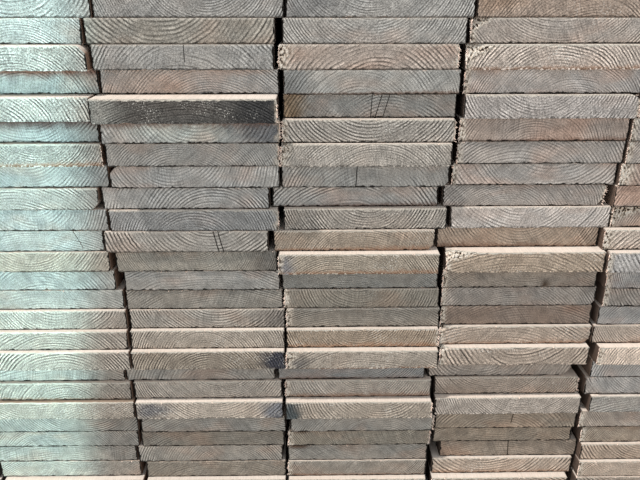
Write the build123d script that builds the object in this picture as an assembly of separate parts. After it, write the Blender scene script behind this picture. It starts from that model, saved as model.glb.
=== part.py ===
"""A stack of rough-sawn boards, laid close in flat layers with no spacers between them.

The frame: +X runs across the boards of a layer, +Y along the boards and +Z up.
The uneven, weathered ends are those at -Y. The origin is the middle of the stack's
base. All sizes are in millimetres.
"""
import os
from functools import cache

from build123d import *

# The sawn board, all of one section and one length.
BOARD_WIDTH = 140.0
BOARD_THICKNESS = 19.0
BOARD_LENGTH = 2438.0
ARRIS_BREAK = 1.0

# How far under the full width the boards of each column came off the saw.
UNDERSIZE_BY_COLUMN = [0.0, 0.0, 0.0, 1.0, 2.0, 1.0]

# Boards that came off the saw wider, or narrower where less than zero, than the rest
# of their column: the layer from the top, the column from the left, both from 0, and
# by how much.
ODD_WIDTHS = [
    (0, 2, 3.0),
    (0, 3, 4.0),
    (1, 2, 4.0),
    (1, 3, 2.0),
    (3, 4, 3.0),
    (4, 2, 3.0),
    (4, 4, 2.0),
    (5, 2, 3.0),
    (8, 3, 2.0),
    (9, 2, 3.0),
    (10, 4, 4.0),
    (12, 2, -3.0),
    (13, 4, 2.0),
    (15, 4, 2.0),
    (19, 4, 3.0),
    (22, 2, 3.0),
    (23, 4, 4.0),
]

# The layers from the top one down, as they were laid: how far the left board
# starts from the stack's left side, the open gaps between neighbouring boards from
# left to right, and how far each board's near end stands forward of the mean end
# plane (less than zero where it is set back).
LAYERS_FROM_TOP = [
    (5.0, [4.0, 1.0, 1.0, 1.0, 2.0], [1.0, 0.0, 0.0, 0.0, -1.0, 0.0]),
    (-1.0, [1.5, 1.5, 5.0, 2.5, 3.5], [0.0, 1.0, 1.0, 1.0, 0.0, 1.0]),
    (2.0, [1.5, 1.5, 3.0, 5.0, 4.0], [5.0, 8.0, 2.0, 2.0, 4.0, 2.0]),
    (4.0, [3.0, 1.0, 3.0, 3.0, 1.0], [-2.0, -4.0, -3.0, 2.0, -1.0, 0.0]),
    (-1.0, [3.0, 2.0, 3.0, 5.0, 1.0], [6.0, 10.0, 20.0, -3.0, 2.0, 1.0]),
    (0.0, [3.0, 2.0, 1.5, 3.5, 1.0], [1.0, -1.0, 4.0, 3.0, 0.0, 2.0]),
    (2.0, [2.0, 3.0, 1.0, 5.0, 1.0], [2.0, 3.0, 4.0, 6.0, -1.0, 1.0]),
    (3.0, [3.0, 1.0, 1.0, 3.0, 1.0], [-1.0, -2.0, 1.0, 1.0, -4.0, 0.0]),
    (-6.0, [2.0, 2.0, 1.5, 3.0, 6.5], [1.0, 0.0, -1.0, -6.0, -5.0, -1.0]),
    (-2.0, [3.0, 1.0, 4.0, 3.0, 1.0], [0.0, -1.0, 1.0, -1.0, -3.0, -3.0]),
    (-7.0, [2.0, 1.0, 4.0, 2.0, 1.0], [0.0, -1.0, 2.0, 1.0, -6.0, 2.0]),
    (-4.0, [2.0, 5.0, 1.0, 6.0, 1.5], [2.0, 0.0, 0.0, 8.0, 6.0, 8.0]),
    (-2.0, [2.0, 8.0, 1.0, 4.0, 6.5], [-2.0, -3.0, -1.0, -3.0, -3.0, 1.0]),
    (2.0, [3.0, 2.0, 1.0, 2.5, 5.5], [-2.0, -3.0, -2.0, -2.0, -4.0, -1.0]),
    (3.0, [3.0, 2.5, 1.0, 1.5, 5.0], [-1.0, 0.0, -1.0, -1.0, -4.0, -2.0]),
    (3.0, [3.0, 2.0, 1.0, 1.5, 1.0], [3.0, 4.0, 3.0, 3.0, -1.0, -1.0]),
    (4.0, [3.0, 1.0, 1.0, 2.0, 8.0], [7.0, 8.0, 8.0, 9.0, 5.0, 6.0]),
    (-6.0, [3.0, 1.0, 2.0, 3.0, 16.0], [-3.0, -3.0, -3.0, -3.0, -6.0, -2.0]),
    (-1.0, [3.0, 2.0, 3.0, 3.0, 6.0], [0.0, 0.0, -1.0, -1.0, -4.0, -2.0]),
    (1.0, [3.0, 1.0, 2.0, 3.5, 9.0], [3.0, 4.0, 5.0, 7.0, 2.0, 1.0]),
    (1.0, [3.0, 3.0, 4.0, 2.0, 3.5], [0.0, -1.0, 1.0, 2.0, -1.0, -1.0]),
    (-1.0, [3.0, 3.0, 4.0, 4.0, 8.0], [-2.0, -3.0, -2.0, -1.0, -5.0, -2.0]),
    (-3.0, [1.0, 2.0, 5.0, 13.0, 1.0], [-3.0, -4.0, -2.0, -2.0, -6.0, 1.0]),
    (-2.0, [2.0, 6.0, 2.0, 5.5, 4.5], [-3.0, -4.0, -2.0, -1.0, -3.0, 4.0]),
    (0.0, [3.0, 3.0, 2.0, 5.0, 8.0], [1.0, 2.0, 3.0, 4.0, 4.0, 5.0]),
]

# Boards that keep some of the log's round outside on one long corner. Each entry
# gives the layer from the top and the column from the left, both from 0, the
# corner's side and face, and how far the wane reaches across and down at the near end.
LEFT, RIGHT = -1, 1
LOWER, UPPER = -1, 1
WANED_CORNERS = [
    (2, 1, RIGHT, UPPER, 7.0, 7.0),
    (8, 1, RIGHT, LOWER, 7.0, 11.0),
    (7, 2, LEFT, UPPER, 9.0, 8.0),
    (7, 3, RIGHT, LOWER, 7.0, 5.0),
    (10, 3, RIGHT, LOWER, 8.0, 9.0),
    (4, 4, RIGHT, UPPER, 9.0, 5.0),
    (8, 4, RIGHT, LOWER, 6.0, 12.0),
    (13, 4, RIGHT, LOWER, 7.0, 7.0),
    (15, 4, RIGHT, LOWER, 9.0, 8.0),
    (17, 4, RIGHT, LOWER, 12.0, 11.0),
]

# The wane runs out along the board, over this length, to a small part of its size.
WANE_RUN_OUT = 1500.0
WANE_END_SHARE = 0.15
# How far the log's surface bulges past the straight line between the wane's edges.
WANE_BULGE_SHARE = 0.12
# How far the tool that cuts the wane stands clear of the board's own faces.
CUT_CLEARANCE = 2.0


def board_section(width):
    """The end profile of one board: a rectangle with its arrises broken."""
    outline = Rectangle(width, BOARD_THICKNESS)
    return chamfer(outline.vertices(), ARRIS_BREAK)


def wane_section(width, side, face, across, down):
    """What the log's round surface leaves off one corner of the end profile."""
    corner = Vector(side * width / 2, face * BOARD_THICKNESS / 2)
    on_face = corner - Vector(side * across, 0)
    on_edge = corner - Vector(0, face * down)
    outward = Vector(side * CUT_CLEARANCE, 0)
    upward = Vector(0, face * CUT_CLEARANCE)
    bulge = Vector(side * down, face * across) * WANE_BULGE_SHARE
    rim = [on_face, on_face + upward, corner + outward + upward, on_edge + outward, on_edge]
    log_surface = ThreePointArc(on_edge, (on_face + on_edge) / 2 + bulge, on_face)
    return make_face(Polyline(rim) + log_surface)


def wane_cutter(width, side, face, across, down):
    """A tapered cut that starts at the near end and runs out along the board."""
    near = wane_section(width, side, face, across, down)
    far = wane_section(width, side, face, across * WANE_END_SHARE, down * WANE_END_SHARE)
    near_plane = Plane.XZ.offset(BOARD_LENGTH / 2 + CUT_CLEARANCE)
    far_plane = Plane.XZ.offset(BOARD_LENGTH / 2 - WANE_RUN_OUT)
    return loft([near_plane * near, far_plane * far])


def width_of_board(layer_from_top, column):
    """How wide one board is."""
    width = BOARD_WIDTH - UNDERSIZE_BY_COLUMN[column]
    for odd_layer, odd_column, extra in ODD_WIDTHS:
        if (odd_layer, odd_column) == (layer_from_top, column):
            width += extra
    return width


@cache
def full_edged_board(width):
    """A board with all its corners, centred on the origin, near end at -Y."""
    board = extrude(Plane.XZ * board_section(width), BOARD_LENGTH / 2, both=True)
    return board.solid()


def make_layer(layer_from_top, start, gaps, near_ends):
    """The boards of one layer, side by side, at the height where the layer lies."""
    height = (len(LAYERS_FROM_TOP) - 1 - layer_from_top + 0.5) * BOARD_THICKNESS
    boards = []
    left_edge = start
    for column, (gap_after, near_end) in enumerate(zip(gaps + [0.0], near_ends)):
        width = width_of_board(layer_from_top, column)
        board = full_edged_board(width)
        for waned_layer, waned_column, side, face, across, down in WANED_CORNERS:
            if (waned_layer, waned_column) == (layer_from_top, column):
                board = (board - wane_cutter(width, side, face, across, down)).solid()
        boards.append(board.moved(Location((left_edge + width / 2, -near_end, height))))
        left_edge += width + gap_after
    return boards


def main():
    layers = []
    for layer_from_top, (start, gaps, near_ends) in enumerate(LAYERS_FROM_TOP):
        layers.append(make_layer(layer_from_top, start, gaps, near_ends))

    extent = Compound([board for boards in layers for board in boards]).bounding_box()
    to_origin = Location((-extent.center().X, -extent.center().Y, -extent.min.Z))

    os.makedirs("parts", exist_ok=True)
    for layer_from_top, boards in enumerate(layers):
        number = len(layers) - layer_from_top
        layer = Compound([board.moved(to_origin) for board in boards])
        export_step(layer, f"parts/layer_{number:02d}.step")


main()
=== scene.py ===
"""The looks of a stack of rough-sawn boards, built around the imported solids.

Lengths named _MM are millimetres and are turned into metres where they are used.
A board's across and up run along +X and +Z from its lower left corner, and its
along runs from the near end, at -Y, to the far one.
"""
import math

import bmesh
import bpy
import numpy as np
from mathutils import Euler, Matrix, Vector
from mathutils.bvhtree import BVHTree


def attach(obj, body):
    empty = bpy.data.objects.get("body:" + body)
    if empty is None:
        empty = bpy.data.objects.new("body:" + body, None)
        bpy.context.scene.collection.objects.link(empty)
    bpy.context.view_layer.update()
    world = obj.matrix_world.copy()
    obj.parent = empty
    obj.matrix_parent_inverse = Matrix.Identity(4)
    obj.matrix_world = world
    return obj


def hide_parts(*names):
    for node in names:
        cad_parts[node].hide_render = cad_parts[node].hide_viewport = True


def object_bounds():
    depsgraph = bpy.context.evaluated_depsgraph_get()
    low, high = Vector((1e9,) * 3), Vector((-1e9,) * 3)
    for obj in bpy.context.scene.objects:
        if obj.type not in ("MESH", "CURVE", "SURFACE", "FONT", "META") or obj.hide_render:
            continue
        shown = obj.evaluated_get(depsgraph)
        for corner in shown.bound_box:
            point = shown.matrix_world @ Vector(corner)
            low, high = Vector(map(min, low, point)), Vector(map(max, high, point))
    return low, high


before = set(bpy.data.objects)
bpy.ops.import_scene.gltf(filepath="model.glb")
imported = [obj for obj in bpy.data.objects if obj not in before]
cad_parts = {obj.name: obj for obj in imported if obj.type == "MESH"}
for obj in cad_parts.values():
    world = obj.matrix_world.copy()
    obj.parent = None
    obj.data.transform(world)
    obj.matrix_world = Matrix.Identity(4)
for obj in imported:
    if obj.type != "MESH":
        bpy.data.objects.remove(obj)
cad_low, cad_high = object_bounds()

MM = 0.001

# The photograph's lens, and the camera's place and aim, as fitted to the boards' edges.
IMAGE_WIDTH = 640
SENSOR_MM = 36.0
FOCAL_PIXELS = 627.0
CAMERA_RIGHT_MM = 27.0
CAMERA_BELOW_TOP_MM = 0.3
CAMERA_BEFORE_FOREMOST_END_MM = 480.0
CAMERA_PITCH = math.radians(-21.65)
CAMERA_YAW = math.radians(0.82)

# How the growth rings lie on each board's near end: one string for each column from
# the left, one letter for each layer from the top one down. An n is an arch, a u is a
# cup and an o is nearly plain. Capitals are boards whose rings stand out.
RINGS_BY_COLUMN = [
    "nunuUnnuonuNnuuonunUunonu",
    "unnnNuuuNuounounNonoUnooo",
    "uUnnounuNnUuooUnNnuuoonoo",
    "uuNnnUnnNUnnouououuunuouu",
    "nuNnunnunuuoonooUuuunooUo",
    "unuUnunUnnNUuUnunNuounUnu",
]

# Boards whose near end differs in colour from the rest: the colour that it is
# multiplied by, and each board's layer from the top and column from the left.
CASTS = [
    ((0.25, 0.255, 0.26), [(4, 2)]),
    ((1.28, 1.35, 1.43), [(9, 4)]),
    ((1.07, 1.22, 1.39), [(11, 5)]),
    ((1.02, 1.10, 1.18), [(19, 4)]),
    ((1.06, 1.12, 1.20), [(4, 4)]),
    ((0.86, 0.95, 0.99), [(19, 5)]),
    ((1.10, 0.99, 0.93), [(5, 4), (9, 5)]),
    ((1.16, 1.02, 0.95), [(7, 5), (8, 5), (2, 3)]),
    ((1.05, 0.95, 0.85), [(10, 4), (15, 3), (10, 3)]),
    ((0.94, 0.90, 0.83), [(21, 4), (21, 5), (12, 3), (21, 3), (11, 2), (11, 3), (20, 4),
                          (11, 4), (13, 3), (1, 2)]),
    ((0.95, 0.84, 0.76), [(0, 4), (11, 1)]),
    ((0.96, 1.04, 1.12), [(12, 5), (14, 5), (17, 5), (18, 5)]),
    ((1.10, 1.08, 1.06), [(6, 3), (15, 4), (3, 1), (17, 1), (10, 2), (5, 2), (15, 5), (1, 4), (1, 3),
                          (6, 2), (15, 2), (14, 2), (7, 3), (16, 3), (19, 3), (10, 4), (22, 5), (2, 3)]),
    ((0.93, 0.98, 1.05), [(12, 3), (17, 3), (9, 2), (19, 5)]),
    ((1.04, 1.02, 0.99), [(4, 3), (3, 3)]),
    ((0.82, 0.79, 0.75), [(21, 2), (13, 2), (23, 2), (16, 2), (14, 3), (12, 4), (22, 4)]),
    ((0.74, 0.65, 0.60), [(14, 4)]),
    ((1.26, 1.25, 1.25), [(3, 2), (5, 2), (7, 2), (8, 2), (18, 2), (19, 2), (8, 3), (18, 3), (2, 4), (3, 4), (16, 5)]),
    ((1.32, 1.33, 1.34), [(7, 4), (23, 4), (10, 5), (16, 5), (17, 5), (18, 5), (23, 5)]),
]

# Stained patches on near ends, and some patches of painted light and shadow: layer from
# # the top, column, the patch's middle as shares of the width and thickness, its reach
# # across and up in millimetres, and the colour that it is multiplied by.
STAINS_AND_PAINTED_LIGHT = [
    (4, 2, 0.02, 0.5, 24.0, 18.0, (2.9, 3.1, 3.1)),
    (4, 2, 0.92, 0.5, 30.0, 22.0, (0.45, 0.47, 0.52)),
    (5, 2, 0.93, 0.8, 40.0, 24.0, (0.34, 0.36, 0.40)),
    (0, 3, 0.12, 0.5, 26.0, 18.0, (0.72, 0.73, 0.75)),
    (3, 3, 0.05, 0.6, 20.0, 18.0, (0.62, 0.64, 0.66)),
    (0, 4, 0.10, 0.8, 26.0, 14.0, (0.95, 0.86, 0.78)),
    (3, 2, 0.25, 0.3, 50.0, 16.0, (1.08, 0.94, 0.86)),
    (19, 2, 0.11, 0.55, 20.0, 11.0, (0.38, 0.42, 0.50)),
    (4, 3, 0.03, 0.5, 18.0, 22.0, (0.78, 0.60, 0.44)),
    (11, 2, 0.98, 0.3, 26.0, 30.0, (0.62, 0.62, 0.64)),
    (5, 2, 0.45, 0.4, 50.0, 12.0, (1.05, 1.16, 1.16)),
    (11, 3, 0.02, 0.4, 12.0, 14.0, (0.62, 0.70, 0.90)),
    (14, 2, 0.97, 0.5, 24.0, 30.0, (0.62, 0.60, 0.60)),
    (16, 2, 0.96, 0.5, 19.0, 20.0, (0.16, 0.19, 0.30)),
    (19, 2, 0.97, 0.4, 18.0, 20.0, (0.36, 0.42, 0.54)),
    (16, 3, 0.06, 0.35, 18.0, 8.0, (0.42, 0.44, 0.48)),
    # Painted light: a pale cool cast on the right ends of these left boards, carrying on the cool lamp's light.
    (10, 1, 1.0, 0.5, 45.0, 30.0, (1.14, 1.22, 1.24)),
    (11, 1, 1.0, 0.5, 45.0, 30.0, (1.14, 1.22, 1.24)),
    (12, 1, 1.0, 0.5, 45.0, 30.0, (1.18, 1.28, 1.30)),
    (13, 1, 1.0, 0.5, 45.0, 30.0, (1.14, 1.22, 1.24)),
    # Painted shadow: reddish brown bands at the top of these ends, under the overhanging board above.
    (3, 1, 0.5, 1.0, 160.0, 6.6, (0.44, 0.22, 0.17)),
    (5, 1, 0.5, 1.0, 160.0, 8.8, (0.25, 0.15, 0.14)),
    (19, 3, 0.03, 0.4, 13.0, 20.0, (0.20, 0.27, 0.34)),
    (21, 3, 0.09, 0.98, 17.0, 3.0, (0.42, 0.30, 0.24)),
    (22, 3, 0.07, 0.90, 14.0, 3.5, (0.42, 0.30, 0.24)),
    (12, 4, 0.67, 0.20, 4.0, 4.0, (0.30, 0.22, 0.17)),
]

# Checks in near ends: layer from the top, column, millimetres from the left, open
# width in millimetres, lean, and where it starts and stops as shares of the thickness.
CHECKS = [
    (2, 2, 71.0, 0.7, 0.0, 0.45, 1.0),
    (7, 3, 62.0, 0.9, 0.05, 0.0, 1.0),
    (4, 3, 71.0, 0.7, 0.05, 0.0, 1.0),
    (4, 3, 76.7, 0.8, 0.28, 0.0, 1.0),
    (4, 3, 82.9, 0.7, 0.28, 0.0, 1.0),
    (10, 2, 95.2, 1.2, -0.22, 0.0, 1.0),
    (10, 2, 99.2, 1.1, -0.22, 0.0, 1.0),
    (10, 1, 119.0, 0.8, -0.45, 0.3, 1.0),
    (20, 4, 75.0, 1.1, 0.12, 0.35, 1.0),
    (22, 4, 69.0, 1.1, -0.06, 0.0, 1.0),
]
CHECK_DEPTH_MM = 7.0

# Boards with a painted band along an edge: painted warm reflected light along the lower
# edge, from the pale ledge below, and painted shadow along the upper edge, under the
# overhanging board above. Layer, column, and how far the band reaches in millimetres at
# the left and at the right, from the lower edge or, where less than zero, from the upper one.
GLOW_AND_SHADOW_BANDS = [
    (5, 2, -9.0, -7.0), (8, 3, 2.0, 6.0), (10, 3, 4.0, 7.0),
    (15, 3, 5.0, 8.0), (16, 3, 1.0, 3.0), (17, 3, 5.0, 2.0), (10, 4, 8.0, 4.0), (23, 4, 6.0, 4.0),
    (11, 3, 4.0, 7.0), (6, 1, 2.0, 7.0), (15, 4, 3.0, 6.0), (3, 3, 2.0, 5.0), (18, 3, 5.0, 7.0),
    (18, 1, 5.0, 2.0), (15, 5, 3.0, 6.0), (23, 3, 6.0, 3.0), (2, 4, 3.0, 5.0), (5, 4, 2.0, 6.0),
]

# Edges that the saw tore into loose pale fibres: for each column, the layers whose left
# edge is torn, and those whose right edge is.
TORN_LEFT_EDGES = {
    3: [2, 5, 6, 11, 13, 14, 16, 18, 21, 23, 24],
    4: [1, 2, 3, 5, 6, 7, 11, 12, 13, 14, 15, 16, 24],
    5: [1, 4, 5, 6, 7, 9, 10, 11, 12, 13, 16, 20, 21, 23],
}
TORN_RIGHT_EDGES = {
    1: [6],
    2: [4, 5, 6, 9],
    3: [2, 5, 15, 19, 20, 21],
    4: [4, 8, 18],
}
# Torn left edges that reach further in than the rest: layer, column and millimetres.
WIDE_TEARS = {(16, 3): 11.0, (2, 3): 10.0, (6, 3): 9.0, (7, 5): 12.0, (10, 5): 12.0}
TEAR_MM = 5.5
RIGHT_TEAR_MM = 2.8
# Upper left corners that the saw broke out as it left the wood: layer, column, and how
# far the break reaches across and down in millimetres.
CHIPPED_CORNERS = [
    (1, 4, 18.0, 12.0), (2, 4, 27.0, 15.0), (11, 4, 29.0, 12.0), (16, 4, 10.0, 9.0), (9, 5, 34.0, 15.0),
    (12, 5, 9.0, 9.0), (6, 3, 12.0, 8.0), (15, 4, 9.0, 7.0),
]
CHIP_DEPTH_MM = 9.0
# How far the ends stand out where no board lies over or under them.
UNCOVERED_MM = 1.6
# Boards whose ledge at the near end has painted shadow on it instead of being pale: layer and column.
SHADOWED_LEDGES = [(19, 1)]

# The lowest layer's near ends are browner than the top one's, and the two right
# columns' are pinker than the rest.
LAYERS = 25
LOWEST_END_CAST = (0.92, 0.84, 0.76)
RIGHT_COLUMNS_CAST = (1.10, 1.02, 0.98)
# How much greyer the weathered top of the stack is than the ledges between its layers.
ON_TOP = (0.80, 0.82, 0.84)
# How much darker a shadowed ledge is painted, as painted shadow.
LEDGE_SHADOW = (0.42, 0.36, 0.31)
# Painted shade: how much darker the sides are painted where they face each other across a narrow gap.
GAP_SHADE = (0.15, 0.12, 0.11)
LEFT_GAP_SHADE = (0.34, 0.27, 0.24)
SECOND_GAP_SHADE = (0.48, 0.34, 0.27)
FIBRES_ON_TORN_EDGE = 26
FIBRES_ON_PLAIN_BOARD = 6
FIBRE_CAST = (1.9, 1.75, 1.7)

# The grid on a board's ends: stops near an edge, and even steps between them.
EDGE_STOPS_MM = [0.0, 0.7, 2.2]
STEPS_ACROSS = 36
STEPS_UP = 4
EDGE_STEPS = 2 * (len(EDGE_STOPS_MM) - 1)
POINTS_ON_END = (STEPS_ACROSS + EDGE_STEPS + 1) * (STEPS_UP + EDGE_STEPS + 1)
# Where along a board its sides have a ring of points, from either end.
NEAR_STOPS_MM = [0.0, 0.6, 1.8, 5.0, 12.0, 30.0, 90.0]
FAR_STOPS_MM = [60.0, 12.0, 3.0, 0.8, 0.0]
MIDDLE_STEPS = 4

# One texture for each layer, in pixels: the sizes of the cells for ends and long faces.
ATLAS_PIXELS = 1024
NEAR_CELL = (700, 95)
FAR_CELL = (300, 40)
OUTER_SIDE_ROW = 20
TOP_ROW = 44
HIDDEN_ROW = 6
CELL_GAP = 3
NEAR_PART_MM = 60.0
NEAR_PART_SHARE = 0.08
FIBRE_CELL = (720.0, 420.0, 40.0, 40.0)

# The light: where the key comes from, and how strong and soft it is.
KEY_FROM = (-0.30, -0.18, 1.0)
KEY_STRENGTH = 2.6
KEY_SOFTNESS = math.radians(3)
KEY_COLOUR = (1.0, 0.96, 0.90)
FILL_COLOUR = (0.90, 0.96, 1.0, 1)
FILL_STRENGTH = 0.68
FLOOR_REACH = 6.0
# A tall cool lamp before the left boards, for the photograph's pale bluish cast there.
COOL_LAMP_PLACE = (-0.345, -1.68, 0.24)
COOL_LAMP_SIZE = (0.34, 0.62)
COOL_LAMP_SLANT = math.radians(6.6)
COOL_LAMP_SPREAD = math.radians(7)
COOL_LAMP_COLOUR = (0.56, 1.0, 1.04)
COOL_LAMP_WATTS = 0.80


def hashed(index, seed):
    """A repeatable value from 0 to 1 for each whole number and seed."""
    mixed = (np.asarray(index, dtype=np.int64) * 374761393 + int(seed) * 668265263) & 0xFFFFFFFF
    mixed = ((mixed ^ (mixed >> 13)) * 1274126177) & 0xFFFFFFFF
    return ((mixed ^ (mixed >> 16)) & 0xFFFF) / 65535.0


def wander(place, seed):
    """Smooth noise from -1 to 1 along a line, one bump to each unit of place."""
    low = np.floor(place)
    share = place - low
    share = share * share * (3 - 2 * share)
    return 2 * (hashed(low, seed) * (1 - share) + hashed(low + 1, seed) * share) - 1


def wander_over(across, up, seed):
    """Smooth noise from -1 to 1 over a surface, one bump to each unit."""
    low = np.floor(up)
    share = up - low
    share = share * share * (3 - 2 * share)
    first = wander(across + 17.3 * low, seed)
    second = wander(across + 17.3 * (low + 1), seed)
    return first * (1 - share) + second * share


def edge_stops(total, steps):
    """Places from 0 to total, even in the middle and close together near both ends."""
    edge = np.array(EDGE_STOPS_MM) * MM
    middle = np.linspace(edge[-1], total - edge[-1], steps + 1)
    return np.concatenate([edge[:-1], middle, total - edge[-2::-1]])


class Board:
    """One board of a layer, as it is measured from its solid in the frame."""

    def __init__(self, corners, faces, layer, column):
        self.low = corners.min(0)
        self.high = corners.max(0)
        self.width, self.length, self.thickness = self.high - self.low
        self.surface = BVHTree.FromPolygons([Vector(corner) for corner in corners], faces)
        self.layer = layer
        self.column = column
        self.seed = layer * 37 + column * 11 + 5

    def chance(self, number):
        """A repeatable value from 0 to 1 that belongs to this board."""
        return float(hashed(number, self.seed))


def boards_of(node, layer):
    """The boards of one layer, from left to right."""
    mesh = bmesh.new()
    mesh.from_mesh(node.data)
    bmesh.ops.remove_doubles(mesh, verts=mesh.verts, dist=MM / 100)
    mesh.verts.index_update()
    found = []
    reached = set()
    for first in mesh.verts:
        if first.index in reached:
            continue
        reached.add(first.index)
        members = [first]
        for vert in members:
            for edge in vert.link_edges:
                neighbour = edge.other_vert(vert)
                if neighbour.index not in reached:
                    reached.add(neighbour.index)
                    members.append(neighbour)
        number = {vert.index: place for place, vert in enumerate(members)}
        faces = {face.index: face for vert in members for face in vert.link_faces}
        corners = np.array([vert.co for vert in members])
        polygons = [[number[vert.index] for vert in face.verts] for face in faces.values()]
        found.append((corners, polygons))
    mesh.free()
    found.sort(key=lambda item: item[0][:, 0].min())
    return [Board(corners, polygons, layer, column) for column, (corners, polygons) in enumerate(found)]


def keep_to_outline(board, across, up, along):
    """Draws points of the full rectangle in to the solid's own outline at a station."""
    half_width, half_thickness = board.width / 2, board.thickness / 2
    x, z = across - half_width, up - half_thickness
    reach = np.maximum(np.abs(x) / half_width, np.abs(z) / half_thickness)
    centre = Vector((board.low[0] + half_width, board.low[1] + along, board.low[2] + half_thickness))
    share = np.ones_like(x)
    for place in np.flatnonzero(reach > 0.5):
        to_rim = Vector((x[place], 0, z[place])) / reach[place]
        hit = board.surface.ray_cast(centre, to_rim)[0]
        if hit:
            rim_share = min((hit - centre).length / to_rim.length, 1.0)
            share[place] = 1 - (1 - rim_share) * (2 * reach[place] - 1)
    return x * share + half_width, z * share + half_thickness


def wear_edges(board, across, up, along):
    """Draws the edges in, most at the ends, so that dark broken lines part the boards."""
    from_end = min(along, board.length - along)
    at_end = math.exp(-from_end / (2.5 * MM))
    behind_end = math.exp(-from_end / (14 * MM))
    even = (0.04 + 0.10 * at_end + 0.06 * behind_end) * MM
    torn = (0.8 * at_end + 0.4 * behind_end) * MM

    def inset(place, seed):
        fine = np.clip(wander(place / (2.1 * MM), seed), 0, 1)
        broad = np.clip(0.3 + wander(place / (9 * MM), seed + 1), 0, 1)
        return even * (0.5 + broad) + torn * fine * broad

    x = 2 * across / board.width - 1
    z = 2 * up / board.thickness - 1
    over = np.where(z > 0, 0.25 * inset(across, board.seed + 11), inset(across, board.seed + 23))
    beside = np.where(x > 0, inset(up, board.seed + 31), inset(up, board.seed + 43))
    return across - x * beside, up - z * over


def end_relief(board, across, up):
    """How far behind its foremost plane each point of the sawn end lies."""
    from_side = np.minimum(across, board.width - across)
    from_face = np.minimum(up, board.thickness - up)
    edge = np.clip(np.minimum(from_side, from_face), 0, None)
    chips = np.clip(wander_over(across / (3.1 * MM), up / (3.1 * MM), board.seed + 3), 0, 1)
    rounding = 0.15 * np.exp(-edge / (0.5 * MM)) * (1 + 3 * chips)
    lean = (board.chance(5) - 0.5) * 1.4
    saw = 0.12 * (wander((across + lean * up) / (5.5 * MM), board.seed + 4) + 1)
    broad = 0.2 * (wander(across / (40 * MM), board.seed + 6) + 1)
    return (rounding + saw + broad + 0.25 * chips) * MM


def inside_chips(board, across, up):
    """How far points lie inside the board's chipped corner: 1 at the corner, 0 outside."""
    inside = np.zeros_like(across)
    for layer, column, reach_across, reach_down in CHIPPED_CORNERS:
        if (layer, column) == (board.layer, board.column):
            down = board.thickness - up
            far = across / (reach_across * MM) + down / (reach_down * MM)
            inside = np.maximum(inside, 1 - far)
    return inside


def end_grid(board):
    """The grid on the ends, with three columns drawn together at each check."""
    columns = edge_stops(board.width, STEPS_ACROSS)
    rows = edge_stops(board.thickness, STEPS_UP)
    across, up = np.meshgrid(columns, rows, indexing="ij")
    depth = np.zeros_like(across)
    middle = 0
    for layer, column, place, width, lean, start, stop in CHECKS:
        if (layer, column) == (board.layer, board.column):
            middle = max(int(np.argmin(np.abs(columns - place * MM))), middle + 3)
            leaning = place * MM + lean * (up[middle] - board.thickness / 2)
            for step in (-1, 0, 1):
                across[middle + step] = leaning + step * width / 2 * MM
            height = up[middle] / board.thickness
            is_open = (height > max(start, 0.02)) & (height < min(stop, 0.98))
            depth[middle] = np.where(is_open, CHECK_DEPTH_MM * MM, 0.0)
    return across, up, depth


def rim_of(grid):
    """The border of a grid, once round: lower edge, right, upper and left."""
    return np.concatenate([grid[:-1, 0], grid[-1, :-1], grid[:0:-1, -1], grid[0, :0:-1]])


def quads_of(shape):
    """The cells of a grid of points as faces."""
    index = np.arange(shape[0] * shape[1]).reshape(shape)
    cells = np.stack([index[:-1, :-1], index[1:, :-1], index[1:, 1:], index[:-1, 1:]], -1)
    return cells.reshape(-1, 4)


def atlas_cells(is_top):
    """Where each board's faces lie on the texture: left, low, wide and tall, in pixels."""
    near, far, sides = [], [], []
    low = CELL_GAP
    for column in range(6):
        near.append((CELL_GAP, low, *NEAR_CELL))
        far.append((2 * CELL_GAP + NEAR_CELL[0], low, *FAR_CELL))
        low += NEAR_CELL[1] + CELL_GAP
    for column in range(6):
        rows = [HIDDEN_ROW, HIDDEN_ROW, TOP_ROW if is_top else HIDDEN_ROW, HIDDEN_ROW]
        if column == 0:
            rows[3] = OUTER_SIDE_ROW
        if column == 5:
            rows[1] = OUTER_SIDE_ROW
        cells = []
        for row in rows:
            cells.append((0, low, ATLAS_PIXELS, row))
            low += row + 1
        sides.append(cells)
    return near, far, sides


def share_along(along, length):
    """Where a station lies on the long faces' texture, with more room near the end."""
    near_part = NEAR_PART_MM * MM
    if along < near_part:
        return along / near_part * NEAR_PART_SHARE
    return NEAR_PART_SHARE + (along - near_part) / (length - near_part) * (1 - NEAR_PART_SHARE)


class Shell:
    """Points, faces, texture places and material numbers, gathered piece by piece."""

    def __init__(self):
        self.points, self.faces, self.uvs, self.materials = [], [], [], []
        self.count = 0

    def add_points(self, points):
        """Adds points and returns the number of the first."""
        self.points.append(np.asarray(points, dtype=float))
        self.count += len(points)
        return self.count - len(points)

    def move_from(self, first, place):
        """Moves the points from a number on to a place."""
        number = 0
        for part in self.points:
            if number >= first:
                part += place
            number += len(part)

    def add_faces(self, faces, uvs, material):
        """Adds four-cornered faces, with a place on the texture for each corner."""
        self.faces.append(faces)
        self.uvs.append(np.asarray(uvs) / ATLAS_PIXELS)
        self.materials.append(np.full(len(faces), material))


END_GRAIN, LONG_GRAIN = 0, 1


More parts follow.
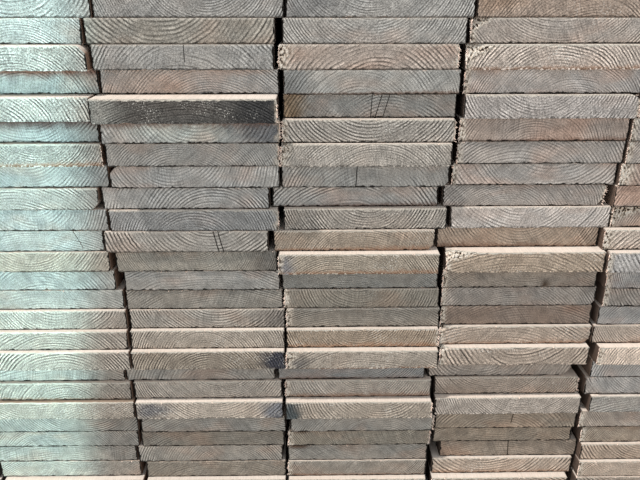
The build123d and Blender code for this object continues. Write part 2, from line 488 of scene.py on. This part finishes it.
def add_end(shell, board, grid, cell, far):
    """Adds one end face. Returns its points' numbers, in the near end's order, and how
    far back its rim lies."""
    across, up, depth = grid
    if far:
        across, up, depth = across[::-1], up[::-1], 0 * depth
    station = board.length - MM / 10 if far else MM / 10
    x, z = keep_to_outline(board, across.ravel(), up.ravel(), station)
    x, z = wear_edges(board, x, z, 0.0)
    relief = end_relief(board, x, z)
    if not far:
        relief += CHIP_DEPTH_MM * MM * inside_chips(board, x, z)
    behind = relief + depth.ravel()
    along = board.length - behind if far else behind
    first = shell.add_points(np.stack([x, along, z], -1))
    quads = quads_of(across.shape)
    left, low, wide, tall = cell
    uv = np.stack([left + x / board.width * wide, low + z / board.thickness * tall], -1)
    shell.add_faces(quads + first, uv[quads], END_GRAIN)
    numbers = first + np.arange(across.size).reshape(across.shape)
    relief = relief.reshape(across.shape)
    if far:
        numbers, relief = numbers[::-1], relief[::-1]
    return numbers, rim_of(relief)


def add_sides(shell, board, grid, rings, stations, cells):
    """Joins the rings of points along a board with its long faces."""
    across, up, _ = grid
    edges = [across[:, 0] / board.width, up[-1] / board.thickness,
             across[::-1, -1] / board.width, up[0, ::-1] / board.thickness]
    side = np.repeat(np.arange(4), [len(edge) - 1 for edge in edges])
    starts = np.concatenate([edge[:-1] for edge in edges])
    ends = np.concatenate([edge[1:] for edge in edges])
    left, low, wide, tall = np.array(cells, dtype=float)[side].T
    for number in range(len(rings) - 1):
        near, far = rings[number], rings[number + 1]
        faces = np.stack([near, far, np.roll(far, -1), np.roll(near, -1)], -1)
        near_u = left + share_along(stations[number], board.length) * wide
        far_u = left + share_along(stations[number + 1], board.length) * wide
        start_v, end_v = low + starts * tall, low + ends * tall
        corners = [(near_u, start_v), (far_u, start_v), (far_u, end_v), (near_u, end_v)]
        uvs = np.stack([np.stack(corner, -1) for corner in corners], 1)
        shell.add_faces(faces, uvs, LONG_GRAIN)


def add_board(shell, board, near_cell, far_cell, side_cells):
    """Adds one board's closed surface."""
    far_stations = board.length - np.array(FAR_STOPS_MM) * MM
    near_stations = np.array(NEAR_STOPS_MM) * MM
    middle = np.linspace(near_stations[-1], far_stations[0], MIDDLE_STEPS + 1)[1:-1]
    stations = np.concatenate([near_stations, middle, far_stations])
    grid = end_grid(board)
    near_numbers, near_relief = add_end(shell, board, grid, near_cell, far=False)
    far_numbers, far_relief = add_end(shell, board, grid, far_cell, far=True)
    rim_across, rim_up = rim_of(grid[0]), rim_of(grid[1])
    rings = [rim_of(near_numbers)]
    for along in stations[1:-1]:
        x, z = keep_to_outline(board, rim_across, rim_up, along)
        x, z = wear_edges(board, x, z, along)
        near_shift = near_relief * np.exp(-along / np.maximum(4 * MM, 1.3 * near_relief))
        far_shift = far_relief * math.exp(-(board.length - along) / (4 * MM))
        first = shell.add_points(np.stack([x, along + near_shift - far_shift, z], -1))
        rings.append(first + np.arange(len(x)))
    rings.append(rim_of(far_numbers))
    add_sides(shell, board, grid, rings, stations, side_cells)


def add_fibre(shell, root, way, thickness, cell):
    """Adds one loose splinter: a bent four-sided spike that starts inside the wood."""
    root, way = Vector(root), Vector(way)
    beside = way.orthogonal().normalized()
    over = way.cross(beside).normalized()
    droop = Vector((0, 0, -0.18 * way.length))
    rings = []
    for share, size in ((0.0, 1.0), (0.5, 0.7), (1.0, 0.12)):
        middle = root + way * share + droop * share * share
        turns = [math.tau * turn / 4 for turn in range(4)]
        spokes = [beside * math.cos(turn) + over * math.sin(turn) for turn in turns]
        ring = [middle + spoke * thickness / 2 * size for spoke in spokes]
        rings.append(shell.add_points(ring) + np.arange(4))
    left, low, wide, tall = cell
    square = [(left, low), (left + wide, low), (left + wide, low + tall), (left, low + tall)]
    faces = [rings[0][::-1][None], rings[-1][None]]
    for near, far in zip(rings, rings[1:]):
        faces.append(np.stack([near, np.roll(near, -1), np.roll(far, -1), far], -1))
    faces = np.concatenate(faces)
    shell.add_faces(faces, [square] * len(faces), LONG_GRAIN)


def torn_sides(board):
    """Which of a board's edges are torn: -1 for the left one and 1 for the right one."""
    sides = []
    if board.layer in TORN_LEFT_EDGES.get(board.column, []):
        sides.append(-1)
    if board.layer in TORN_RIGHT_EDGES.get(board.column, []):
        sides.append(1)
    return sides


def add_fibres(shell, board, cell):
    """Adds the loose splinters round one board's near end."""
    places = [0] * FIBRES_ON_PLAIN_BOARD
    for side in torn_sides(board):
        places += [side] * FIBRES_ON_TORN_EDGE
    for fibre, side in enumerate(places):
        along_edge = board.chance(100 + fibre)
        length = (1.0 + 2.4 * board.chance(200 + fibre) ** 2) * MM
        thickness = (0.45 + 0.4 * board.chance(300 + fibre)) * MM
        spread = board.chance(400 + fibre) - 0.5
        if side:
            beside = board.width / 2 + side * (board.width / 2 - (0.5 + 2.5 * spread ** 2) * MM)
            root = (beside, 0.9 * MM, (0.06 + 0.88 * along_edge) * board.thickness)
            way = (0.55 * side, -0.75, 1.1 * spread)
        else:
            root = ((0.02 + 0.96 * along_edge) * board.width, 0.9 * MM, board.thickness - 0.6 * MM)
            way = (1.2 * spread, -0.8, 0.2)
        add_fibre(shell, root, Vector(way).normalized() * length, thickness, cell)


def smooth_patch(across, up, middle, reach):
    """1 in the middle of a patch, falling to 0 past its uneven rim."""
    far = np.hypot((across - middle[0]) / reach[0], (up - middle[1]) / reach[1])
    uneven = 0.25 * wander_over(across / (5 * MM), up / (5 * MM), 71)
    return np.clip(1.5 - 1.3 * (far + uneven), 0, 1)


def point_colours(board, points, first_fibre):
    """The colour that each point of a board and its fibres is multiplied by, with painted
    shade in the gaps and on shaded ledges, and patches of painted light and shadow.
    """
    even = 1 + 0.12 * (board.chance(61) - 0.5)
    colours = np.full((len(points), 3), even)
    at_end = np.arange(len(points)) < POINTS_ON_END
    from_top = board.layer / (LAYERS - 1)
    colours[at_end] *= 1 + from_top * (np.array(LOWEST_END_CAST) - 1)
    if board.column >= 4:
        colours[at_end] *= RIGHT_COLUMNS_CAST
    on_side = np.arange(len(points)) >= 2 * POINTS_ON_END
    # Painted shade on the sides in the gaps between columns.
    if board.column > 0:
        colours[on_side & (points[:, 0] < 0.8 * MM)] *= LEFT_GAP_SHADE if board.column == 5 else GAP_SHADE
    if board.column < 5:
        shade = SECOND_GAP_SHADE if board.column == 1 else GAP_SHADE
        colours[on_side & (points[:, 0] > board.width - 0.8 * MM)] *= shade
    on_upper_face = on_side & (points[:, 2] > board.thickness - 0.8 * MM)
    if board.layer == 0:
        colours[on_upper_face] *= ON_TOP
    # Painted shadow on a ledge that lies in shade.
    if (board.layer, board.column) in SHADOWED_LEDGES:
        colours[on_upper_face & (points[:, 1] < 20 * MM)] *= LEDGE_SHADOW
    for cast, members in CASTS:
        if (board.layer, board.column) in members:
            colours[at_end] *= cast
    # Stains, and patches of painted light and shadow.
    for layer, column, across, up, reach_across, reach_up, patch_colour in STAINS_AND_PAINTED_LIGHT:
        if (layer, column) == (board.layer, board.column):
            middle = (across * board.width, up * board.thickness)
            reach = (reach_across * MM, reach_up * MM)
            share = smooth_patch(points[:, 0], points[:, 2], middle, reach) * at_end
            colours *= 1 + share[:, None] * (np.array(patch_colour) - 1)
    colours[first_fibre:] = FIBRE_CAST
    return colours


def log_places(board, points, letter):
    """Where each point lies in its log: across and up from the pith, and along it."""
    pith_across = board.width / 2 + 44 * MM * (board.chance(51) - 0.5)
    depth = (14 + 30 * board.chance(52)) * MM
    if letter == "o":
        depth += 70 * MM
    lean = 0.006 * (board.chance(53) - 0.5)
    if letter.lower() == "u":
        pith_up = board.thickness + depth
    else:
        pith_up = -depth
    from_pith = points[:, 0] - pith_across + lean * points[:, 1]
    return np.stack([from_pith, points[:, 1] + 7.0 * board.seed, points[:, 2] - pith_up], -1)


def set_back(board, others):
    """How far behind a board's near end lies that of the one right over or under it."""
    for other in others:
        shared = min(other.high[0], board.high[0]) - max(other.low[0], board.low[0])
        if shared > board.width / 2:
            return other.low[1] - board.low[1]
    return UNCOVERED_MM * MM


def board_looks(board, letter, boards_below):
    """The gap between a board's rings in metres, how far they stand out, and how fully
    the board below makes a ledge before this one, from 0 to 1."""
    narrowest, widest = (2.1, 3.4) if letter.isupper() else (1.7, 2.8)
    gap = (narrowest + (widest - narrowest) * board.chance(54)) * MM
    relief = {"n": 0.85, "u": 0.85, "N": 1.25, "U": 1.25, "o": 0.75}[letter]
    ledge = np.clip(0.2 - set_back(board, boards_below) / (2 * MM), 0, 1)
    return (gap, relief, ledge)


def end_light_and_wear(board, points, boards_above):
    """How far a board's near end stands out over the board above, which sets where its
    painted light goes, and how far in its edges are torn, from 0 to 1, and how high its
    painted band reaches: painted warm reflected light from the lower edge, painted shadow
    from the upper one."""
    light_and_wear = np.zeros((len(points), 3))
    light_and_wear[:, 0] = np.clip(set_back(board, boards_above) / (4 * MM) + 0.1, 0, 1)
    for side in torn_sides(board):
        inward = board.width / 2 - side * (points[:, 0] - board.width / 2)
        widest = WIDE_TEARS.get((board.layer, board.column), TEAR_MM) if side < 0 else RIGHT_TEAR_MM
        reach = widest * MM * (0.7 + 0.3 * wander(points[:, 2] / (6 * MM), board.seed + side))
        light_and_wear[:, 1] = np.maximum(light_and_wear[:, 1], np.clip(1.3 - inward / reach, 0, 1))
    light_and_wear[:, 1] = np.maximum(light_and_wear[:, 1], np.clip(6 * inside_chips(board, points[:, 0], points[:, 2]), 0, 1))
    # Painted warm reflected light along lower edges, and painted shadow along upper ones.
    for layer, column, left, right in GLOW_AND_SHADOW_BANDS:
        if (layer, column) == (board.layer, board.column):
            light_and_wear[:, 2] = (left + (right - left) * points[:, 0] / board.width) * MM
    return light_and_wear


def edge_places(board, points):
    """How far each point lies above its board's lower face, below its upper one and
    from the nearer side."""
    up = np.clip(points[:, 2], 0, board.thickness)
    across = np.clip(points[:, 0], 0, board.width)
    return np.stack([up, board.thickness - up, np.minimum(across, board.width - across)], -1)


def add_layer(node, layer, boards, boards_above, boards_below, materials):
    """Makes the piece that stands for one layer's solids."""
    mesh_name = "boards_" + node.name
    shell = Shell()
    places, looks, colours, edges, lights_and_wears = [], [], [], [], []
    near_cells, far_cells, side_cells = atlas_cells(layer == 0)
    for board in boards:
        first = shell.count
        letter = RINGS_BY_COLUMN[board.column][layer]
        near_cell, far_cell = near_cells[board.column], far_cells[board.column]
        add_board(shell, board, near_cell, far_cell, side_cells[board.column])
        first_fibre = shell.count - first
        add_fibres(shell, board, FIBRE_CELL)
        points = np.concatenate(shell.points)[first:]
        places.append(log_places(board, points, letter))
        looks.append(np.tile(board_looks(board, letter, boards_below), (len(points), 1)))
        colours.append(point_colours(board, points, first_fibre))
        edges.append(edge_places(board, points))
        lights_and_wears.append(end_light_and_wear(board, points, boards_above))
        shell.move_from(first, board.low)

    points, faces = np.concatenate(shell.points), np.concatenate(shell.faces)
    mesh = bpy.data.meshes.new(mesh_name)
    mesh.from_pydata(points.tolist(), [], faces.tolist())
    mesh.uv_layers.new(name="OFBake").data.foreach_set("uv", np.concatenate(shell.uvs).ravel())
    for material in materials:
        mesh.materials.append(material)
    mesh.polygons.foreach_set("material_index", np.concatenate(shell.materials))
    named = (("log_place", places), ("board_look", looks), ("point_colour", colours), ("edge_place", edges),
             ("end_light_and_wear", lights_and_wears))
    for name, values in named:
        attribute = mesh.attributes.new(name, "FLOAT_VECTOR", "POINT")
        attribute.data.foreach_set("vector", np.concatenate(values).ravel())
    mesh.shade_smooth()
    mesh.set_sharp_from_angle(angle=math.radians(32))

    piece = bpy.data.objects.new(mesh_name, mesh)
    bpy.context.scene.collection.objects.link(piece)
    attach(piece, "root")
    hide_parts(node.name)


def put(tree, kind, inputs, **settings):
    """Adds a shader node, and links or sets its inputs by name or number."""
    node = tree.nodes.new(kind)
    for name, value in settings.items():
        setattr(node, name, value)
    for key, value in inputs.items():
        if isinstance(value, bpy.types.NodeSocket):
            tree.links.new(value, node.inputs[key])
        else:
            node.inputs[key].default_value = value
    return node


def maths(tree, operation, *values):
    """A Math node's result."""
    return put(tree, "ShaderNodeMath", dict(enumerate(values)), operation=operation).outputs[0]


def noise(tree, place, scale, detail=2.0):
    """Noise from about 0 to 1 at a place."""
    inputs = {"Vector": place, "Scale": scale, "Detail": detail}
    return put(tree, "ShaderNodeTexNoise", inputs).outputs["Fac"]


def step(tree, value, start, stop, low=0.0, high=1.0):
    """A smooth change from low to high while a value goes from start to stop."""
    inputs = {"Value": value, "From Min": start, "From Max": stop, "To Min": low, "To Max": high}
    node = put(tree, "ShaderNodeMapRange", inputs, interpolation_type="SMOOTHSTEP")
    return node.outputs["Result"]


def vector(tree, x, y, z):
    """Three values as one vector."""
    return put(tree, "ShaderNodeCombineXYZ", {0: x, 1: y, 2: z}).outputs[0]


def parts_of(tree, value):
    """A vector's three values."""
    return put(tree, "ShaderNodeSeparateXYZ", {0: value}).outputs


def mix(tree, share, first, second, blend_type="MIX"):
    """Two colours mixed, or one multiplied or lightened by the other."""
    inputs = {0: share, 6: first, 7: second}
    return put(tree, "ShaderNodeMix", inputs, data_type="RGBA", blend_type=blend_type).outputs[2]


def attribute(tree, name):
    """A mesh attribute as a vector."""
    return put(tree, "ShaderNodeAttribute", {}, attribute_name=name).outputs["Vector"]


def new_material(name):
    """A material with its shader and output, and nothing else."""
    material = bpy.data.materials.new(name)
    material.use_nodes = True
    tree = material.node_tree
    tree.nodes.clear()
    shader = put(tree, "ShaderNodeBsdfPrincipled", {"IOR": 1.4, "Specular IOR Level": 0.25})
    put(tree, "ShaderNodeOutputMaterial", {"Surface": shader.outputs[0]})
    return material, tree, shader


def scaled(tree, place, x, y, z):
    """A place with each of its values multiplied."""
    node = put(tree, "ShaderNodeVectorMath", {0: place, 1: (x, y, z)}, operation="MULTIPLY")
    return node.outputs[0]


def ring_pattern(tree, place, look):
    """The rings' dark and pale lines, and how far out and round from the pith they are."""
    across, along, up = parts_of(tree, place)
    gap = parts_of(tree, look)[0]
    in_section = scaled(tree, place, 1.0, 0.15, 1.0)
    squares = maths(tree, "ADD", maths(tree, "MULTIPLY", across, across), maths(tree, "MULTIPLY", up, up))
    radius = maths(tree, "SQRT", squares)
    turn = maths(tree, "ARCTAN2", across, up)
    warp = maths(tree, "MULTIPLY", noise(tree, in_section, 20.0, 1.0), 3.6)
    warp = maths(tree, "MULTIPLY_ADD", noise(tree, in_section, 200.0, 1.0), 0.45, warp)
    phase = maths(tree, "ADD", maths(tree, "DIVIDE", radius, gap), warp)
    share = maths(tree, "FRACT", phase)
    dark = maths(tree, "SUBTRACT", step(tree, share, 0.58, 0.76), step(tree, share, 0.84, 0.98))
    pale = maths(tree, "SUBTRACT", step(tree, share, 0.04, 0.20), step(tree, share, 0.28, 0.50))
    number = maths(tree, "ADD", maths(tree, "FLOOR", phase), maths(tree, "FLOOR", along))
    uneven = put(tree, "ShaderNodeTexWhiteNoise", {"W": number}, noise_dimensions="1D").outputs["Value"]
    strength = step(tree, uneven, -0.5, 1.0)
    return maths(tree, "MULTIPLY", dark, strength), maths(tree, "MULTIPLY", pale, strength), radius, turn


def tone(tree, value, start, stop, low, high):
    """A grey that multiplies a colour: low to high while a value goes from start to stop."""
    grey = step(tree, value, start, stop, low, high)
    return vector(tree, grey, grey, grey)


def make_end_grain():
    """Weathered end grain: rings, rays, saw lines and stains, with painted light and shade
    laid on: ends that stand out painted lighter, painted shade along broken dark edges,
    painted glow and shadow bands, and painted sparkle, glints and edge highlights.
    """
    material, tree, shader = new_material("weathered_end_grain")
    place, look = attribute(tree, "log_place"), attribute(tree, "board_look")
    dark, pale, radius, turn = ring_pattern(tree, place, look)
    across, along, up = parts_of(tree, place)
    relief, ledge = parts_of(tree, look)[1:]
    above_lower, below_upper, from_side = parts_of(tree, attribute(tree, "edge_place"))
    exposure, torn, band = parts_of(tree, attribute(tree, "end_light_and_wear"))

    ray_place = vector(tree, maths(tree, "MULTIPLY", turn, 60.0), maths(tree, "MULTIPLY", radius, 150.0), along)
    rays = noise(tree, ray_place, 1.0)
    number = maths(tree, "FLOOR", along)
    chance = put(tree, "ShaderNodeTexWhiteNoise", {"W": number}, noise_dimensions="1D").outputs["Value"]
    lean = maths(tree, "MULTIPLY_ADD", chance, 2.4, -1.2)
    level = maths(tree, "MULTIPLY_ADD", lean, up, across)
    saw_place = vector(tree, maths(tree, "MULTIPLY", level, 900.0), along, maths(tree, "MULTIPLY", up, 40.0))
    saw = noise(tree, saw_place, 1.0, 1.0)
    specks = noise(tree, place, 1100.0, 0.0)
    clouds = noise(tree, place, 30.0, 2.0)
    flushes = noise(tree, scaled(tree, place, 1.0, 1.7, 2.0), 21.0, 2.0)
    patches = noise(tree, scaled(tree, place, 1.0, 1.3, 1.7), 40.0, 1.0)

    # The rings show most near the sides and in patches, and, as painted light, more where
    # the end stands out over the board above and the key light grazes it.
    clear = step(tree, patches, 0.38, 0.60, 0.30, 1.05)
    clear = maths(tree, "MULTIPLY", clear, step(tree, from_side, 0.05, 0.0, 0.7, 1.2))
    clear = maths(tree, "MULTIPLY", clear, maths(tree, "MULTIPLY_ADD", exposure, 0.55, 0.80))
    clear = maths(tree, "MULTIPLY", clear, relief)
    clear = maths(tree, "MINIMUM", maths(tree, "MAXIMUM", clear, maths(tree, "MULTIPLY", torn, 1.4)), 1.4)
    lines = maths(tree, "MULTIPLY_ADD", pale, 0.50, maths(tree, "MULTIPLY", dark, -0.62))
    ringed = maths(tree, "MULTIPLY_ADD", clear, lines, 1.0)

    sawn = maths(tree, "MULTIPLY_ADD", step(tree, saw, 0.34, 0.66, -0.15, 0.15),
                 step(tree, clouds, 0.42, 0.58, 1.2, 0.3), 1.0)
    mottled = maths(tree, "MULTIPLY", step(tree, patches, 0.3, 0.7, 0.88, 1.12),
                    step(tree, noise(tree, place, 115.0, 3.0), 0.32, 0.68, 0.88, 1.12))
    rayed = maths(tree, "MULTIPLY", step(tree, rays, 0.34, 0.66, 0.95, 1.05), mottled)
    # Painted light: the specks stand out more where the end stands out and the key light grazes it.
    speck_contrast = maths(tree, "MULTIPLY_ADD", exposure, 0.12, 0.19)
    specked = maths(tree, "MULTIPLY_ADD", step(tree, specks, 0.30, 0.70, -1.0, 1.0), speck_contrast, 1.0)
    grey = maths(tree, "MULTIPLY", maths(tree, "MULTIPLY", ringed, sawn), maths(tree, "MULTIPLY", rayed, specked))

    cool = mix(tree, step(tree, clouds, 0.36, 0.64), (0.358, 0.358, 0.352, 1), (0.405, 0.390, 0.372, 1))
    ground = mix(tree, step(tree, flushes, 0.50, 0.74, 0.0, 0.8), cool, (0.428, 0.352, 0.312, 1))
    # Painted light: ends that stand out over the board above are painted lighter and tan, as if lit by the key, and
    # those under an overhang stay darker as if shaded.
    ground = mix(tree, maths(tree, "MULTIPLY", exposure, 0.7), ground, (0.480, 0.432, 0.385, 1))
    colour = mix(tree, 1.0, ground, vector(tree, grey, grey, grey), "MULTIPLY")
    colour = mix(tree, 1.0, colour, attribute(tree, "point_colour"), "MULTIPLY")

    # Painted light: a warm band of reflected light along the lower edge of some ends, and a band of painted shadow
    # along the upper edge of others, darker brown where the end lies under the board above.
    ragged = noise(tree, place, 260.0, 3.0)
    band = maths(tree, "MULTIPLY", band, step(tree, ragged, 0.3, 0.7, 0.7, 1.3))
    from_edge = mix(tree, maths(tree, "GREATER_THAN", band, 0.0), below_upper, above_lower)
    band = maths(tree, "ABSOLUTE", band)
    glow_and_shadow = maths(tree, "MULTIPLY", step(tree, from_edge, 0.0, band, 0.85, 0.0), step(tree, band, 0.0, 0.001))
    colour = mix(tree, glow_and_shadow, colour, mix(tree, exposure, (0.190, 0.095, 0.060, 1), (0.44, 0.235, 0.140, 1)))
    tufts = noise(tree, scaled(tree, place, 1.0, 1.0, 0.7), 520.0, 1.0)
    colour = mix(tree, maths(tree, "MULTIPLY", torn, 0.9), colour, (0.86, 0.72, 0.58, 1))
    pits = maths(tree, "MULTIPLY", torn, step(tree, tufts, 0.40, 0.46, 1.0, 0.0))
    colour = mix(tree, pits, colour, (0.045, 0.026, 0.018, 1))
    curls = maths(tree, "MULTIPLY", torn, step(tree, tufts, 0.50, 0.55))
    colour = mix(tree, curls, colour, (1.0, 0.90, 0.79, 1))
    # Painted highlight: pale sparkle on ends that stand out over the board above, where the key light grazes the rough
    # end grain.
    sparkle_dots = step(tree, noise(tree, place, 860.0, 1.0), 0.60, 0.68)
    sparkle_patches = step(tree, noise(tree, scaled(tree, place, 1.0, 1.0, 1.6), 33.0, 1.0), 0.50, 0.66, 0.10, 0.95)
    painted_sparkle = maths(tree, "MULTIPLY", maths(tree, "MULTIPLY", exposure, sparkle_dots), sparkle_patches)
    colour = mix(tree, painted_sparkle, colour, (0.92, 0.87, 0.80, 1))

    # Painted shade: a thin broken dark line along the lower edge, where shade falls between a board and the one below,
    # and along the sides, in the shade of the gaps between columns, except where torn. It fades under an end that
    # stands out over the board above, unless a ledge lies below.
    thin = noise(tree, scaled(tree, place, 1.0, 1.0, 0.2), 90.0, 1.0)
    reach = step(tree, ragged, 0.40, 0.74, 0.0010, 0.0021)
    edge_shade_strength = step(tree, thin, 0.34, 0.48, 0.50, 0.97)
    lower_edge = step(tree, maths(tree, "SUBTRACT", above_lower, reach), -0.0002, 0.0003, 1.0, 0.0)
    side_edge = step(tree, maths(tree, "SUBTRACT", from_side, reach), -0.0002, 0.0002, 1.0, 0.0)
    side_edge = maths(tree, "MULTIPLY", side_edge, maths(tree, "SUBTRACT", 1.0, torn))
    covered = maths(tree, "MAXIMUM", maths(tree, "MULTIPLY_ADD", exposure, -0.62, 1.0), ledge)
    shaded = maths(tree, "MULTIPLY", edge_shade_strength, covered)
    edge_shade = maths(tree, "MAXIMUM", maths(tree, "MULTIPLY", lower_edge, shaded), side_edge)
    edge_shaded_and_glinting = mix(tree, edge_shade, colour, (0.012, 0.009, 0.007, 1))
    # Painted highlight: pale glints along the lower edge of an end that stands out, most where no ledge lies below it.
    glints = maths(tree, "MULTIPLY", step(tree, above_lower, 0.0008, 0.0018, 1.0, 0.0), step(tree, tufts, 0.52, 0.60))
    glints = maths(tree, "MULTIPLY", glints, maths(tree, "MULTIPLY", exposure, exposure))
    glints = maths(tree, "MULTIPLY", glints, maths(tree, "MULTIPLY_ADD", ledge, -0.8, 1.0))
    lit = mix(tree, 1.0, (0.90, 0.83, 0.76, 1), attribute(tree, "point_colour"), "MULTIPLY")
    edge_shaded_and_glinting = mix(tree, glints, edge_shaded_and_glinting, lit)
    # Painted highlight: a pale line along the upper edge of an end that stands out, where the key light catches the
    # edge.
    upper_edge = step(tree, maths(tree, "SUBTRACT", below_upper, reach), -0.0003, 0.0004, 1.0, 0.0)
    upper_edge_highlighted = mix(tree, maths(tree, "MULTIPLY", upper_edge, exposure), edge_shaded_and_glinting, (0.74, 0.67, 0.58, 1))

    height = maths(tree, "MULTIPLY_ADD", specks, maths(tree, "MULTIPLY_ADD", exposure, 0.7, 0.25),
                   maths(tree, "MULTIPLY", rays, 0.4))
    height = maths(tree, "MULTIPLY_ADD", saw, 0.5, height)
    height = maths(tree, "MULTIPLY_ADD", maths(tree, "MULTIPLY", dark, clear), -1.2, height)
    height = maths(tree, "MULTIPLY_ADD", maths(tree, "MULTIPLY", tufts, torn), 4.0, height)
    bump = put(tree, "ShaderNodeBump", {"Strength": 1.0, "Distance": 0.0009, "Height": height})
    for key, value in (("Base Color", upper_edge_highlighted), ("Roughness", step(tree, specks, 0.2, 0.8, 0.82, 0.98)),
                       ("Normal", bump.outputs[0])):
        tree.links.new(value, shader.inputs[key])
    return material


def make_long_grain():
    """Rough-sawn faces: fresher wood with long fibres, and the band saw's marks across."""
    material, tree, shader = new_material("rough_sawn_faces")
    place, look = attribute(tree, "log_place"), attribute(tree, "board_look")
    dark = ring_pattern(tree, place, look)[0]
    fibres = noise(tree, scaled(tree, place, 700.0, 22.0, 700.0), 1.0, 3.0)
    marks = noise(tree, scaled(tree, place, 6.0, 260.0, 1.0), 1.0, 1.0)
    clouds = noise(tree, place, 9.0, 3.0)
    ground = mix(tree, step(tree, clouds, 0.35, 0.65), (0.78, 0.69, 0.62, 1), (0.75, 0.65, 0.575, 1))
    ringed = mix(tree, maths(tree, "MULTIPLY", dark, 0.06), ground, (0.36, 0.26, 0.18, 1))
    streaked = mix(tree, 1.0, ringed, tone(tree, fibres, 0.3, 0.7, 0.93, 1.06), "MULTIPLY")
    sawn = mix(tree, maths(tree, "MULTIPLY", step(tree, marks, 0.35, 0.75), 0.14), streaked, (0.40, 0.33, 0.26, 1))
    # Painted shade: the upright sides are painted darker than the faces that look up or down.
    facing = put(tree, "ShaderNodeNewGeometry", {}).outputs["Normal"]
    flatness = maths(tree, "ABSOLUTE", parts_of(tree, facing)[2])
    colour = mix(tree, 1.0, sawn, tone(tree, flatness, 0.1, 0.8, 0.62, 1.0), "MULTIPLY")
    colour = mix(tree, 1.0, colour, attribute(tree, "point_colour"), "MULTIPLY")
    height = maths(tree, "MULTIPLY_ADD", marks, 0.9, fibres)
    bump = put(tree, "ShaderNodeBump", {"Strength": 0.7, "Distance": 0.0006, "Height": height})
    for key, value in (("Base Color", colour), ("Roughness", step(tree, fibres, 0.2, 0.8, 0.78, 0.95)),
                       ("Normal", bump.outputs[0])):
        tree.links.new(value, shader.inputs[key])
    return material


def make_floor():
    """A plain pale floor."""
    material, tree, shader = new_material("floor")
    shader.inputs["Base Color"].default_value = (0.56, 0.56, 0.55, 1)
    shader.inputs["Roughness"].default_value = 0.9
    mesh = bpy.data.meshes.new("floor")
    far = FLOOR_REACH
    mesh.from_pydata([(-far, -far, 0), (far, -far, 0), (far, far, 0), (-far, far, 0)], [], [(0, 1, 2, 3)])
    mesh.materials.append(material)
    floor = bpy.data.objects.new("floor", mesh)
    bpy.context.scene.collection.objects.link(floor)


def make_light():
    """A high soft key light, and an even pale surround that shows white to the camera."""
    key = bpy.data.lights.new("key", "SUN")
    key.energy = KEY_STRENGTH
    key.angle = KEY_SOFTNESS
    key.color = KEY_COLOUR
    lamp = bpy.data.objects.new("key", key)
    lamp.rotation_euler = Vector(KEY_FROM).to_track_quat("Z", "Y").to_euler()
    bpy.context.scene.collection.objects.link(lamp)

    cool = bpy.data.lights.new("cool", "AREA")
    cool.shape = "RECTANGLE"
    cool.size, cool.size_y = COOL_LAMP_SIZE
    cool.spread = COOL_LAMP_SPREAD
    cool.color = COOL_LAMP_COLOUR
    cool.energy = COOL_LAMP_WATTS
    lamp = bpy.data.objects.new("cool", cool)
    lamp.location = COOL_LAMP_PLACE
    lamp.rotation_euler = (math.pi / 2, COOL_LAMP_SLANT, 0)
    lamp.visible_camera = False
    bpy.context.scene.collection.objects.link(lamp)

    world = bpy.data.worlds.new("surround")
    bpy.context.scene.world = world
    world.use_nodes = True
    tree = world.node_tree
    tree.nodes.clear()
    fill = put(tree, "ShaderNodeBackground", {"Color": FILL_COLOUR, "Strength": FILL_STRENGTH})
    shown = put(tree, "ShaderNodeBackground", {"Color": (0.86, 0.86, 0.85, 1), "Strength": 1.0})
    seen = put(tree, "ShaderNodeLightPath", {}).outputs["Is Camera Ray"]
    both = put(tree, "ShaderNodeMixShader", {0: seen, 1: fill.outputs[0], 2: shown.outputs[0]})
    put(tree, "ShaderNodeOutputWorld", {"Surface": both.outputs[0]})


def make_camera():
    """The photograph's view of the near ends."""
    lens = bpy.data.cameras.new("camera")
    lens.sensor_width = SENSOR_MM
    lens.lens = FOCAL_PIXELS / IMAGE_WIDTH * SENSOR_MM
    lens.clip_start = 0.01
    camera = bpy.data.objects.new("camera", lens)
    camera.location = (CAMERA_RIGHT_MM * MM, cad_low.y - CAMERA_BEFORE_FOREMOST_END_MM * MM,
                       cad_high.z - CAMERA_BELOW_TOP_MM * MM)
    camera.rotation_euler = Euler((math.pi / 2 + CAMERA_PITCH, 0, -CAMERA_YAW))
    bpy.context.scene.collection.objects.link(camera)
    bpy.context.scene.camera = camera


def main():
    make_camera()
    make_light()
    make_floor()
    materials = [make_end_grain(), make_long_grain()]
    names = sorted(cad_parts, reverse=True)
    nodes = [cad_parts[name] for name in names]
    layers = [boards_of(node, layer) for layer, node in enumerate(nodes)]
    none = [[]]
    for layer, (boards, above, below) in enumerate(zip(layers, none + layers, layers[1:] + none)):
        add_layer(nodes[layer], layer, boards, above, below, materials)
    bpy.context.scene.view_settings.view_transform = "Standard"


main()
